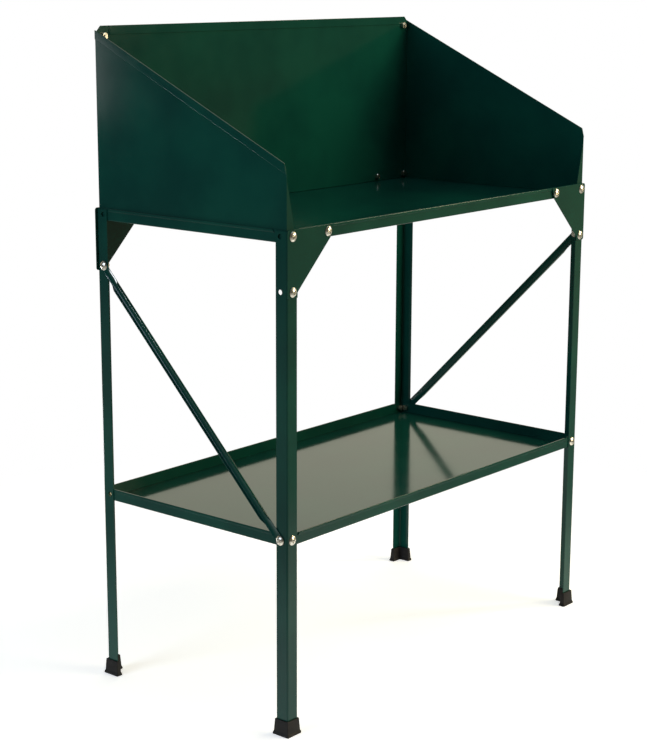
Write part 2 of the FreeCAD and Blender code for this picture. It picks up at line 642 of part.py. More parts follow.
BRACES = {"left": "rear", "right": "front"}
long_bolt = make_bolt("bolt_long", LONG_BOLT)
short_bolt = make_bolt("bolt_short", SHORT_BOLT)
hex_nut = make_nut()
for side_name, high_name in BRACES.items():
    make_brace(side_name, high_name)
    bolt_brace(side_name, high_name, short_bolt, hex_nut)
for end_name in ENDS:
    for side_name in SIDES:
        bolt_gusset(end_name, side_name, long_bolt, hex_nut)
bolt_shelf(short_bolt, hex_nut)
bolt_back_panel(short_bolt, hex_nut)
doc.recompute()

for item in doc.Objects:
    if "Invalid" in item.State or "Error" in item.State:
        raise ValueError(f"{item.Label}: {item.State}")
pieces = [item for item in doc.Objects if item.TypeId in ("PartDesign::Body", "Part::Compound")]
for piece in pieces:
    if piece.Shape.isNull() or not piece.Shape.isValid():
        raise ValueError(f"{piece.Label}: its shape is not a sound solid")
os.makedirs("parts", exist_ok=True)
for piece in pieces:
    piece.Shape.exportStep(f"parts/{piece.Label}.step")
print(len(pieces), "pieces written")
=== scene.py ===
"""The finished look of a bolted sheet-steel potting bench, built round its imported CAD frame.

Sizes inside the classes are in millimetres unless their names say otherwise. Blender's
lengths are metres, so every size goes through MM on its way to a mesh.
"""

import logging
import math
from dataclasses import dataclass
from enum import Enum
from typing import Sequence

import bmesh
import bpy
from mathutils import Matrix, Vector


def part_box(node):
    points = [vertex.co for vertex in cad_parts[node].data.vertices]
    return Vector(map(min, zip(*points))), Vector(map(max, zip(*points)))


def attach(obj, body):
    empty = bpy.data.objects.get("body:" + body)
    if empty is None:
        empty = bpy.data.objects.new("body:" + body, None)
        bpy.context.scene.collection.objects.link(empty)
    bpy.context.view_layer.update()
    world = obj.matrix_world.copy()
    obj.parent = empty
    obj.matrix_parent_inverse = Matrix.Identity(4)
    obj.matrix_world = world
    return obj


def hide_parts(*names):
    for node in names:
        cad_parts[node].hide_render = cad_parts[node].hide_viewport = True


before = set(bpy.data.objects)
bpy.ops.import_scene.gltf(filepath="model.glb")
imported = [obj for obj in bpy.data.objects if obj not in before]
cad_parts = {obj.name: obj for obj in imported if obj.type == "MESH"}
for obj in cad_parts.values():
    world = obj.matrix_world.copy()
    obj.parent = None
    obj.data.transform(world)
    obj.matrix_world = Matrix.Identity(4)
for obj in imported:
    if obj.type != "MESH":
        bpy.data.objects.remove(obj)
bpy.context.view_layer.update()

MM = 0.001
BODY = "root"
WELD_MM = 0.002
LOG = logging.getLogger("potting_bench")

Settings = dict[str | int, object]
Links = dict[str | int, bpy.types.NodeSocket]
Spot = tuple[float, float, float]


def linear(colour: str, alpha: float = 1.0) -> tuple[float, float, float, float]:
    """Turn an sRGB hex colour into the linear colour that shaders use.

    Args:
        colour: The colour as "#RRGGBB".
        alpha: The opacity that goes with it.

    Returns:
        Red, green, blue and alpha.
    """
    channels = [int(colour[start:start + 2], 16) / 255 for start in (1, 3, 5)]
    red, green, blue = (
        channel / 12.92 if channel <= 0.04045 else ((channel + 0.055) / 1.055) ** 2.4
        for channel in channels
    )
    return red, green, blue, alpha


def add_node(
    tree: bpy.types.NodeTree,
    kind: str,
    settings: Settings | None = None,
    links: Links | None = None,
) -> bpy.types.Node:
    """Add one node to a tree, with its settings and the links into it.

    Args:
        tree: The shader or geometry tree.
        kind: Blender's identifier of the node.
        settings: Values of the node's properties, or else of its inputs.
        links: Output sockets by the name or number of the input that they feed.

    Returns:
        The new node.
    """
    node = tree.nodes.new(kind)
    for name, value in (settings or {}).items():
        if isinstance(name, str) and hasattr(node, name):
            setattr(node, name, value)
        else:
            node.inputs[name].default_value = value
    for name, socket in (links or {}).items():
        tree.links.new(socket, node.inputs[name])
    return node


@dataclass(frozen=True)
class Pattern:
    """A cloudy pattern on a finish.

    Its features are about size_mm across, and detail says how finely they break up. Between
    low and high, its value goes from one end of what it drives to the other.
    """

    size_mm: float
    detail: float
    low: float = 0.0
    high: float = 1.0

    @property
    def settings(self) -> Settings:
        """The values of a noise node on Object coordinates."""
        return {"Scale": 1 / (self.size_mm * MM), "Detail": self.detail}


@dataclass(frozen=True)
class Fade:
    """A soft change from one value to another as something goes from start to stop."""

    start: float
    stop: float
    first: float
    last: float

    @property
    def settings(self) -> Settings:
        """The values of a Map Range node.

        Returns:
            The node's properties and inputs.
        """
        return {
            "interpolation_type": "SMOOTHSTEP",
            "From Min": self.start,
            "From Max": self.stop,
            "To Min": self.first,
            "To Max": self.last,
        }


class Slot(Enum):
    """The record's material slots."""

    GREEN_COAT = "green_powder_coat"
    ZINC = "zinc_plate"
    RUBBER = "black_shoe_rubber"


class Facing(Enum):
    """The direction that a fastener's head points, with the turn that brings +Z there."""

    FRONT = (90, 0)
    REAR = (-90, 0)
    LEFT = (0, -90)
    RIGHT = (0, 90)

    @property
    def turn(self) -> Vector:
        """Euler angles in radians."""
        about_x, about_y = self.value
        return Vector((math.radians(about_x), math.radians(about_y), 0))

    @property
    def axis(self) -> int:
        """0 where the fastener lies along X and 1 where it lies along Y."""
        return 0 if self in (Facing.LEFT, Facing.RIGHT) else 1

    @property
    def sign(self) -> int:
        """Which way the head points along that axis."""
        return 1 if self in (Facing.REAR, Facing.RIGHT) else -1


@dataclass(frozen=True)
class Finish:
    """What the finishes share: a name, and a material with one Principled shader."""

    name: str

    def start(self) -> tuple[bpy.types.NodeTree, bpy.types.Node, bpy.types.NodeSocket]:
        """Make the empty material.

        Returns:
            Its tree, its Principled shader and a socket of Object coordinates.
        """
        material = bpy.data.materials.new(self.name)
        material.use_nodes = True
        tree = material.node_tree
        shader = tree.nodes["Principled BSDF"]
        place = add_node(tree, "ShaderNodeTexCoord").outputs["Object"]
        return tree, shader, place

    def material(self) -> bpy.types.Material:
        """Give the finish's material, made on the first call.

        Returns:
            The material.
        """
        found = bpy.data.materials.get(self.name)
        if found is None:
            self.paint()
            found = bpy.data.materials[self.name]
        return found

    def clouds(
        self,
        tree: bpy.types.NodeTree,
        place: bpy.types.NodeSocket,
        pattern: Pattern,
        colours: tuple[str, str],
    ) -> tuple[bpy.types.NodeSocket, bpy.types.NodeSocket]:
        """Drift from one colour to another in soft clouds.

        Args:
            tree: The material's tree.
            place: Object coordinates.
            pattern: The clouds.
            colours: The colours at the pattern's low end and at its high end.

        Returns:
            The clouds' own value, and the colour.
        """
        noise = add_node(tree, "ShaderNodeTexNoise", pattern.settings, {0: place})
        ramp = add_node(tree, "ShaderNodeValToRGB", None, {"Fac": noise.outputs["Fac"]})
        ends = zip(ramp.color_ramp.elements, (pattern.low, pattern.high), colours)
        for stop, position, colour in ends:
            stop.position, stop.color = position, linear(colour)
        return noise.outputs["Fac"], ramp.outputs["Color"]

    def relief(
        self,
        tree: bpy.types.NodeTree,
        place: bpy.types.NodeSocket,
        pattern: Pattern,
        height_mm: float,
        strength: float = 1.0,
    ) -> bpy.types.NodeSocket:
        """Raise the surface in a pattern.

        Args:
            tree: The material's tree.
            place: Object coordinates.
            pattern: The pattern.
            height_mm: Its height.
            strength: How much of it shows.

        Returns:
            The normal.
        """
        noise = add_node(tree, "ShaderNodeTexNoise", pattern.settings, {0: place})
        bump = add_node(
            tree,
            "ShaderNodeBump",
            {"Strength": strength, "Distance": height_mm * MM},
            {"Height": noise.outputs["Fac"]},
        )
        return bump.outputs["Normal"]

    def paint(self) -> None:
        """Build the material's nodes."""
        raise NotImplementedError


@dataclass(frozen=True)
class GlossPowderCoat(Finish):
    """Gloss polyester powder coat, sprayed dry and baked on pressed steel.

    The baked film is a smooth dark green with a clear mirror gloss at low angles. It keeps
    a very shallow orange peel and drifts a little in shade where the film is thicker.
    """

    deep: str = "#0A3932"
    full: str = "#0D4439"
    drift: Pattern = Pattern(120, 3, 0.35, 0.65)
    rub: Pattern = Pattern(30, 6, 0.35, 0.7)
    # The peel is life-size: a few millimetres across and a few thousandths deep.
    peel: Pattern = Pattern(2.6, 1)
    peel_height_mm: float = 0.0035
    smooth: float = 0.1
    rubbed: float = 0.13
    # Cured polyester is nearer 1.5. This is matched to how dark the flat faces stay.
    ior: float = 1.3

    def paint(self) -> None:
        """Build the film's drift in shade, its rubbed gloss and its orange peel."""
        tree, shader, place = self.start()
        _, shade = self.clouds(tree, place, self.drift, (self.deep, self.full))
        rub = add_node(tree, "ShaderNodeTexNoise", self.rub.settings, {0: place})
        gloss = add_node(
            tree,
            "ShaderNodeMapRange",
            {
                "From Min": self.rub.low,
                "From Max": self.rub.high,
                "To Min": self.smooth,
                "To Max": self.rubbed,
            },
            {"Value": rub.outputs["Fac"]},
        )
        normal = self.relief(tree, place, self.peel, self.peel_height_mm)
        shader.inputs["IOR"].default_value = self.ior
        tree.links.new(shade, shader.inputs["Base Color"])
        tree.links.new(gloss.outputs["Result"], shader.inputs["Roughness"])
        tree.links.new(normal, shader.inputs["Normal"])


@dataclass(frozen=True)
class BrightZinc(Finish):
    """Bright zinc electroplate on cold-headed steel bolts and nuts.

    The plate is a pale, slightly warm mirror that the barrel finish has left faintly
    cloudy, so the heads sparkle without showing a clean picture.
    """

    pale: str = "#E6E2D6"
    cloud: str = "#B9B4A6"
    haze: Pattern = Pattern(2.2, 3, 0.35, 0.6)
    # A barrel's dents are smaller. They are drawn as coarse as they need to be to show.
    dents: Pattern = Pattern(0.9, 1)
    dent_height_mm: float = 0.02
    dent_strength: float = 0.6
    smooth: float = 0.16
    cloudy: float = 0.34

    def paint(self) -> None:
        """Build the cloudy plate with its small dents."""
        tree, shader, place = self.start()
        haze, shade = self.clouds(tree, place, self.haze, (self.cloud, self.pale))
        gloss = add_node(
            tree,
            "ShaderNodeMapRange",
            {"To Min": self.cloudy, "To Max": self.smooth},
            {"Value": haze},
        )
        normal = self.relief(tree, place, self.dents, self.dent_height_mm, self.dent_strength)
        shader.inputs["Metallic"].default_value = 1.0
        tree.links.new(shade, shader.inputs["Base Color"])
        tree.links.new(gloss.outputs["Result"], shader.inputs["Roughness"])
        tree.links.new(normal, shader.inputs["Normal"])


@dataclass(frozen=True)
class MouldedRubber(Finish):
    """Injection-moulded black thermoplastic rubber, as on push-on furniture shoes.

    The mould's spark-eroded skin leaves a fine grain that scatters light into a soft warm
    grey, and handling leaves it a little uneven.
    """

    dark: str = "#0F0D0C"
    worn: str = "#1D1A17"
    wear: Pattern = Pattern(9, 4, 0.4, 0.75)
    # A spark-eroded grain is nearer 0.1 mm. It is drawn as coarse as it needs to be to show.
    grain: Pattern = Pattern(0.8, 2)
    grain_height_mm: float = 0.05
    grain_strength: float = 0.5
    roughness: float = 0.6
    specular: float = 0.25

    def paint(self) -> None:
        """Build the uneven black with its moulded grain."""
        tree, shader, place = self.start()
        _, shade = self.clouds(tree, place, self.wear, (self.dark, self.worn))
        normal = self.relief(tree, place, self.grain, self.grain_height_mm, self.grain_strength)
        shader.inputs["Roughness"].default_value = self.roughness
        shader.inputs["Specular IOR Level"].default_value = self.specular
        tree.links.new(shade, shader.inputs["Base Color"])
        tree.links.new(normal, shader.inputs["Normal"])


COAT = GlossPowderCoat("green_gloss_powder_coat_baked")
ZINC = BrightZinc("bright_zinc_electroplate")
RUBBER = MouldedRubber("black_rubber_moulded")


def new_object(name: str, mesh: bpy.types.Mesh) -> bpy.types.Object:
    """Put a mesh in the scene as an object at the origin.

    Args:
        name: The object's name.
        mesh: Its mesh, already in place.

    Returns:
        The object.
    """
    item = bpy.data.objects.new(name, mesh)
    bpy.context.scene.collection.objects.link(item)
    return item


def settle(item: bpy.types.Object) -> bpy.types.Object:
    """Turn an object's modifiers into its plain mesh.

    Args:
        item: The object, with its modifiers set.

    Returns:
        The same object with that mesh and no modifier.
    """
    graph = bpy.context.evaluated_depsgraph_get()
    mesh = bpy.data.meshes.new_from_object(item.evaluated_get(graph))
    item.modifiers.clear()
    item.data = mesh
    return item


def skin(
    name: str, rings: Sequence[Sequence[Vector]], crease_degrees: float
) -> bpy.types.Object:
    """Stretch a closed skin over rings of points, with a flat face at each end.

    Args:
        name: The object's name.
        rings: Rings with the same number of points, in metres.
        crease_degrees: The angle past which an edge stays crisp.

    Returns:
        The object, at the origin.
    """
    shape = bmesh.new()
    loops = [[shape.verts.new(point) for point in ring] for ring in rings]
    for loop, after in zip(loops, loops[1:]):
        for index in range(len(loop)):
            follow = (index + 1) % len(loop)
            shape.faces.new((loop[index], loop[follow], after[follow], after[index]))
    shape.faces.new(loops[0])
    shape.faces.new(loops[-1])
    bmesh.ops.recalc_face_normals(shape, faces=shape.faces)
    mesh = bpy.data.meshes.new(name)
    shape.to_mesh(mesh)
    shape.free()
    mesh.shade_smooth()
    mesh.set_sharp_from_angle(angle=math.radians(crease_degrees))
    return new_object(name, mesh)


def hand_over(item: bpy.types.Object, finish: Finish, nodes: Sequence[str]) -> None:
    """Dress a finished piece and let it stand for its CAD nodes.

    Args:
        item: The piece, in place.
        finish: Its finish.
        nodes: The CAD nodes that it replaces.
    """
    item.data.materials.clear()
    item.data.materials.append(finish.material())
    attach(item, BODY)
    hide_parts(*nodes)
    LOG.info("%s: %d faces for %s", item.name, len(item.data.polygons), ", ".join(nodes))


def merged(node: str) -> bmesh.types.BMesh:
    """Copy a CAD node's mesh with its loose triangles joined up.

    Args:
        node: The node's name.

    Returns:
        The copy, which the caller frees.
    """
    copy = bmesh.new()
    copy.from_mesh(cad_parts[node].data)
    bmesh.ops.remove_doubles(copy, verts=copy.verts, dist=WELD_MM * MM)
    return copy


def solids(node: str) -> list[tuple[Vector, Vector]]:
    """Find the separate solids of a CAD node.

    Args:
        node: The node's name.

    Returns:
        The lowest and highest corner of each, in a steady order.
    """
    copy = merged(node)
    waiting = set(copy.verts)
    boxes = []
    while waiting:
        spread = [waiting.pop()]
        points = []
        while spread:
            vertex = spread.pop()
            points.append(vertex.co.copy())
            for edge in vertex.link_edges:
                other = edge.other_vert(vertex)
                if other in waiting:
                    waiting.remove(other)
                    spread.append(other)
        low = Vector(min(point[axis] for point in points) for axis in range(3))
        high = Vector(max(point[axis] for point in points) for axis in range(3))
        boxes.append((low, high))
    copy.free()
    tenth_of_mm = 4
    return sorted(boxes, key=lambda box: tuple(round(value, tenth_of_mm) for value in box[0]))


@dataclass
class PressedSheet:
    """A piece of folded and punched sheet, with the soft edges that powder coat gives it."""

    node: str
    edge_radius: float = 0.32
    fold_radius: float = 0.5
    hem_edge_radius: float = 0.95
    edge_segments: int = 3
    sharp_degrees: float = 25
    hem_length: float = 250
    hem_width: float = 1.6
    flat_degrees: float = 0.3
    flat_weight: int = 100
    looks_down: float = -0.8
    upright: float = 0.1

    def build(self) -> bpy.types.Object:
        """Round the CAD solid's edges.

        Returns:
            The piece, in place.
        """
        copy = merged(self.node)
        bmesh.ops.dissolve_limit(
            copy, angle_limit=math.radians(self.flat_degrees), verts=copy.verts, edges=copy.edges
        )
        self.round_edges(copy, self.hem_edge(copy), self.hem_edge_radius)
        self.round_edges(copy, self.top_fold(copy), self.fold_radius)
        self.round_edges(copy, self.sharp(copy), self.edge_radius)
        mesh = bpy.data.meshes.new(f"{self.node}_sheet")
        copy.to_mesh(mesh)
        copy.free()
        mesh.shade_smooth()
        item = new_object(f"{self.node}_sheet", mesh)
        weigh = item.modifiers.new("flat_faces_stay_flat", "WEIGHTED_NORMAL")
        weigh.weight = self.flat_weight
        return settle(item)

    def sharp(self, copy: bmesh.types.BMesh) -> list[bmesh.types.BMEdge]:
        """List the edges where two faces meet at an angle."""
        limit = math.radians(self.sharp_degrees)
        return [edge for edge in copy.edges if edge.calc_face_angle(0) > limit]

    def hem_edge(self, copy: bmesh.types.BMesh) -> list[bmesh.types.BMEdge]:
        """List the outer edges along the lower side of a hem.

        Args:
            copy: The sheet.

        Returns:
            The long edges where a narrow face that looks down meets an upright face.
        """
        found = []
        for edge in self.sharp(copy):
            along = edge.verts[1].co - edge.verts[0].co
            if along.length < self.hem_length * MM or not edge.is_convex:
                continue
            lowest = min(edge.link_faces, key=lambda face: face.normal.z)
            wall = max(edge.link_faces, key=lambda face: face.normal.z)
            if lowest.normal.z < self.looks_down and abs(wall.normal.z) < self.upright:
                if lowest.calc_area() / along.length < self.hem_width * MM:
                    found.append(edge)
        return found

    def top_fold(self, copy: bmesh.types.BMesh) -> list[bmesh.types.BMEdge]:
        """List the edges along a hem's fold: none on a plain piece."""
        return []

    def round_edges(
        self, copy: bmesh.types.BMesh, edges: list[bmesh.types.BMEdge], radius: float
    ) -> None:
        """Round the listed edges.

        Args:
            copy: The sheet.
            edges: The edges.
            radius: The rounding's radius.
        """
        if edges:
            bmesh.ops.bevel(
                copy,
                geom=edges,
                offset=radius * MM,
                offset_type="OFFSET",
                segments=self.edge_segments,
                profile=0.5,
                affect="EDGES",
                clamp_overlap=True,
            )

    def finish(self) -> None:
        """Build the piece, coat it and hand it over."""
        hand_over(self.build(), COAT, [self.node])


@dataclass
class HemmedPanel(PressedSheet):
    """A panel whose top edge is folded over, so that the edge is a full round."""

    fold_length: float = 60
    looks_up: float = 0.5

    def top_fold(self, copy: bmesh.types.BMesh) -> list[bmesh.types.BMEdge]:
        """List the long sharp edges along the panel's top line.

        Args:
            copy: The sheet.

        Returns:
            The edges on both sides of the folded top.
        """
        found = []
        for edge in self.sharp(copy):
            along = edge.verts[1].co - edge.verts[0].co
            if along.length < self.fold_length * MM:
                continue
            upward = [face.normal.z for face in edge.link_faces]
            if max(upward) > self.looks_up:
                found.append(edge)
        return found


def geometry_tree(name: str, inputs: dict[str, str]) -> bpy.types.NodeTree:
    """Start a Geometry Nodes tree.

    Args:
        name: The tree's name.
        inputs: The type of socket of each named input after the geometry.

    Returns:
        The tree, with its Group Input and Group Output nodes.
    """
    tree = bpy.data.node_groups.new(name, "GeometryNodeTree")
    tree.interface.new_socket("Geometry", in_out="INPUT", socket_type="NodeSocketGeometry")
    for label, kind in inputs.items():
        tree.interface.new_socket(label, in_out="INPUT", socket_type=kind)
    tree.interface.new_socket("Geometry", in_out="OUTPUT", socket_type="NodeSocketGeometry")
    add_node(tree, "NodeGroupInput")
    add_node(tree, "NodeGroupOutput")
    return tree


def apply_tree(item: bpy.types.Object, tree: bpy.types.NodeTree, values: dict[str, object]) -> None:
    """Run a tree on an object and keep the result as its plain mesh.

    Args:
        item: The object.
        tree: The tree.
        values: A value for each of the tree's named inputs.
    """
    modifier = item.modifiers.new(tree.name, "NODES")
    modifier.node_group = tree
    for socket in tree.interface.items_tree:
        if socket.in_out == "INPUT" and socket.name in values:
            modifier[socket.identifier] = values[socket.name]
    settle(item)


@dataclass
class FastenerKind:
    """What bolts and nuts share: places read from the CAD solids, and a copy at each."""

    name: str
    nodes: tuple[str, ...]
    seed: int = 7
    smooth_degrees: float = 35
    loose_degrees: float = 0

    def facing(self, node: str, low: Vector, high: Vector) -> Facing:
        """Tell which way a fastener points: away from the middle of the bench.

        Args:
            node: The CAD node that it belongs to.
            low: The lowest corner of its solid.
            high: The highest corner of its solid.

        Returns:
            The direction.
        """
        middle = (low + high) / 2
        if "brace" in node:
            return Facing.RIGHT if middle.x > 0 else Facing.LEFT
        return Facing.REAR if middle.y > 0 else Facing.FRONT

    def seat(self, facing: Facing, low: Vector, high: Vector) -> Vector:
        """Find the point that the fastener's pattern has at its origin."""
        raise NotImplementedError

    def spin(self, facing: Facing) -> float:
        """Give the fastener's turn about its own axis, in radians."""
        return 0.0

    def points(self) -> bpy.types.Object:
        """Make a point for each fastener, with its turn and spin.

        Returns:
            An object of loose points.
        """
        seats, turns, spins = [], [], []
        for node in self.nodes:
            for low, high in solids(node):
                facing = self.facing(node, low, high)
                seats.append(self.seat(facing, low, high))
                turns.append(facing.turn)
                spins.append(self.spin(facing))
        mesh = bpy.data.meshes.new(self.name)
        mesh.from_pydata(seats, [], [])
        turn = mesh.attributes.new("turn", "FLOAT_VECTOR", "POINT")
        turn.data.foreach_set("vector", [value for item in turns for value in item])
        spin = mesh.attributes.new("spin", "FLOAT", "POINT")
        spin.data.foreach_set("value", spins)
        return new_object(self.name, mesh)

    def start_tree(self) -> bpy.types.NodeTree:
        """Start the tree, with an input for each size and one for the finish.

        Returns:
            The tree, with nothing between its input and its output.
        """
        kinds = {
            label: "NodeSocketVector" if isinstance(value, tuple) else "NodeSocketFloat"
            for label, value in self.sizes().items()
        }
        return geometry_tree(self.name, {**kinds, "Finish": "NodeSocketMaterial"})

    def copy_to_points(self, tree: bpy.types.NodeTree, pattern: bpy.types.NodeSocket) -> None:
        """End a tree: put the pattern on every point, realised and dressed.

        Args:
            tree: The tree, whose Group Input has a Finish.
            pattern: The pattern's geometry, with the fastener's axis along Z.
        """
        source = tree.nodes["Group Input"]
        turn = add_node(
            tree, "GeometryNodeInputNamedAttribute", {"data_type": "FLOAT_VECTOR", "Name": "turn"}
        )
        spin = add_node(
            tree, "GeometryNodeInputNamedAttribute", {"data_type": "FLOAT", "Name": "spin"}
        )
        highest = 3  # the random node's input for the most that a plain number can be
        chance = add_node(
            tree,
            "FunctionNodeRandomValue",
            {"data_type": "FLOAT", highest: math.radians(self.loose_degrees), "Seed": self.seed},
        )
        total = add_node(
            tree, "ShaderNodeMath", {"operation": "ADD"}, {0: spin.outputs[0], 1: chance.outputs[1]}
        )
        about = add_node(tree, "ShaderNodeCombineXYZ", None, {"Z": total.outputs[0]})
        base = add_node(tree, "FunctionNodeEulerToRotation", None, {0: turn.outputs[0]})
        extra = add_node(tree, "FunctionNodeEulerToRotation", None, {0: about.outputs[0]})
        rotation = add_node(
            tree,
            "FunctionNodeRotateRotation",
            {"rotation_space": "LOCAL"},
            {0: base.outputs[0], 1: extra.outputs[0]},
        )
        angle = add_node(tree, "GeometryNodeInputMeshEdgeAngle")
        crisp = add_node(
            tree,
            "FunctionNodeCompare",
            {"data_type": "FLOAT", "operation": "LESS_THAN", 1: math.radians(self.smooth_degrees)},
            {0: angle.outputs["Unsigned Angle"]},
        )
        faces = add_node(
            tree,
            "GeometryNodeSetShadeSmooth",
            {"domain": "FACE", "Shade Smooth": True},
            {0: pattern},
        )
        edges = add_node(
            tree,
            "GeometryNodeSetShadeSmooth",
            {"domain": "EDGE"},
            {0: faces.outputs[0], "Shade Smooth": crisp.outputs[0]},
        )
        copies = add_node(
            tree,
            "GeometryNodeInstanceOnPoints",
            None,
            {
                "Points": source.outputs["Geometry"],
                "Instance": edges.outputs[0],
                "Rotation": rotation.outputs[0],
            },
        )
        real = add_node(tree, "GeometryNodeRealizeInstances", None, {0: copies.outputs[0]})
        dressed = add_node(
            tree,
            "GeometryNodeSetMaterial",
            None,
            {"Geometry": real.outputs[0], "Material": source.outputs["Finish"]},
        )
        tree.links.new(dressed.outputs[0], tree.nodes["Group Output"].inputs[0])

    def pattern_tree(self) -> bpy.types.NodeTree:
        """Build the tree that makes one fastener and copies it to the points."""
        raise NotImplementedError

    def sizes(self) -> dict[str, float | Spot]:
        """Give the tree's named sizes and places, in metres."""
        raise NotImplementedError

    def finish(self) -> None:
        """Build all the fasteners of this kind, plate them and hand them over."""
        item = self.points()
        tree = self.pattern_tree()
        apply_tree(item, tree, {**self.sizes(), "Finish": ZINC.material()})
        hand_over(item, ZINC, self.nodes)


@dataclass
class MushroomBolts(FastenerKind):
    """M6 roofing bolts: a low domed head with a cross slot, on a threaded shank."""

    loose_degrees: float = 90
    head_height: float = 3.8
    head_edge: float = 0.7
    head_sides: int = 40
    crown_rings: int = 48
    slot_width: float = 1.5
    slot_depth: float = 1.4
    slot_length: float = 8.4
    shank_radius: float = 3
    core_radius: float = 2.55
    core_sides: int = 20
    pitch: float = 1
    ridge_radius: float = 0.33
    ridge_sides: int = 4
    turn_points: int = 18
    thread_end: float = 0.4

    def seat(self, facing: Facing, low: Vector, high: Vector) -> Vector:
        """Find the middle of the head's underside.

        Args:
            facing: The way that the head points.
            low: The lowest corner of its solid.
            high: The highest corner of its solid.

        Returns:
            The point.
        """
        seat = (low + high) / 2
        outer = high if facing.sign > 0 else low
        seat[facing.axis] = outer[facing.axis] - facing.sign * self.head_height * MM
        return seat

    def sizes(self) -> dict[str, float | Spot]:
        """Give the bolt's named sizes, its width and its length read from the CAD solid.

        Returns:
            A length or a place for each of the tree's inputs, in metres.
        """
        low, high = solids(self.nodes[0])[0]
        radius = (high.z - low.z) / 2
        head = self.head_height * MM
        shank = high.y - low.y - head
        rise = (self.head_height - self.head_edge) * MM
        crown = (radius ** 2 + rise ** 2) / (2 * rise)
        length, width = self.slot_length * MM, self.slot_width * MM
        depth = 2 * self.slot_depth * MM
        return {
            "Head Radius": radius,
            "Head Height": head,
            "Head Middle": (0.0, 0.0, head / 2),
            "Head Top": (0.0, 0.0, head),
            "Crown Radius": crown,
            "Crown Middle": (0.0, 0.0, head - crown),
            "Slot": (length, width, depth),
            "Cross Slot": (width, length, depth),
            "Shank Length": shank,
            "Shank Middle": (0.0, 0.0, -shank / 2),
            "Core Radius": self.core_radius * MM,
            "Thread Turns": shank / (self.pitch * MM),
            "Thread Radius": (self.shank_radius - self.ridge_radius) * MM,
            "Thread Length": shank - 2 * self.thread_end * MM,
            "Thread Foot": (0.0, 0.0, self.thread_end * MM - shank),
            "Ridge Radius": self.ridge_radius * MM,
        }

    def head(self, tree: bpy.types.NodeTree) -> bpy.types.NodeSocket:
        """Make the domed head, less its cross slot.

        Args:
            tree: The tree.

        Returns:
            The head's mesh, standing on the middle of its underside.
        """
        size = tree.nodes["Group Input"].outputs
        rim = add_node(
            tree,
            "GeometryNodeMeshCylinder",
            {"Vertices": self.head_sides},
            {"Radius": size["Head Radius"], "Depth": size["Head Height"]},
        )
        ball = add_node(
            tree,
            "GeometryNodeMeshUVSphere",
            {"Segments": self.head_sides, "Rings": self.crown_rings},
            {"Radius": size["Crown Radius"]},
        )
        dome = add_node(
            tree, "GeometryNodeMeshBoolean", {"operation": "INTERSECT", "solver": "FLOAT"}
        )
        for solid, middle in ((rim, "Head Middle"), (ball, "Crown Middle")):
            placed = add_node(
                tree,
                "GeometryNodeTransform",
                None,
                {"Geometry": solid.outputs["Mesh"], "Translation": size[middle]},
            )
            tree.links.new(placed.outputs[0], dome.inputs[1])
        cut = dome.outputs["Mesh"]
        for slot in ("Slot", "Cross Slot"):
            bar = add_node(tree, "GeometryNodeMeshCube", None, {"Size": size[slot]})
            bar_up = add_node(
                tree,
                "GeometryNodeTransform",
                None,
                {"Geometry": bar.outputs["Mesh"], "Translation": size["Head Top"]},
            )
            slotted = add_node(
                tree,
                "GeometryNodeMeshBoolean",
                {"operation": "DIFFERENCE", "solver": "FLOAT"},
                {0: cut, 1: bar_up.outputs[0]},
            )
            cut = slotted.outputs["Mesh"]
        return cut

    def shank(self, tree: bpy.types.NodeTree) -> list[bpy.types.NodeSocket]:
        """Make the shank's core and the helical ridge of its thread.

        Args:
            tree: The tree.

        Returns:
            The meshes of both, hanging under the head.
        """
        size = tree.nodes["Group Input"].outputs
        core = add_node(
            tree,
            "GeometryNodeMeshCylinder",
            {"Vertices": self.core_sides},
            {"Radius": size["Core Radius"], "Depth": size["Shank Length"]},
        )
        helix = add_node(
            tree,
            "GeometryNodeCurveSpiral",
            {"Resolution": self.turn_points},
            {
                "Rotations": size["Thread Turns"],
                "Start Radius": size["Thread Radius"],
                "End Radius": size["Thread Radius"],
                "Height": size["Thread Length"],
            },
        )
        ridge = add_node(
            tree,
            "GeometryNodeCurvePrimitiveCircle",
            {"mode": "RADIUS", "Resolution": self.ridge_sides},
            {"Radius": size["Ridge Radius"]},
        )
        thread = add_node(
            tree,
            "GeometryNodeCurveToMesh",
            {"Fill Caps": True},
            {"Curve": helix.outputs[0], "Profile Curve": ridge.outputs["Curve"]},
        )
        return [
            add_node(
                tree, "GeometryNodeTransform", None, {"Geometry": mesh, "Translation": size[place]}
            ).outputs[0]
            for mesh, place in (
                (core.outputs["Mesh"], "Shank Middle"),
                (thread.outputs[0], "Thread Foot"),
            )
        ]

    def pattern_tree(self) -> bpy.types.NodeTree:
        """Build the tree: a domed head, less a cross, on a shank with a helical thread.

        Returns:
            The tree.
        """
        tree = self.start_tree()
        bolt = add_node(tree, "GeometryNodeJoinGeometry")
        for part in (self.head(tree), *self.shank(tree)):
            tree.links.new(part, bolt.inputs[0])
        self.copy_to_points(tree, bolt.outputs[0])
        return tree


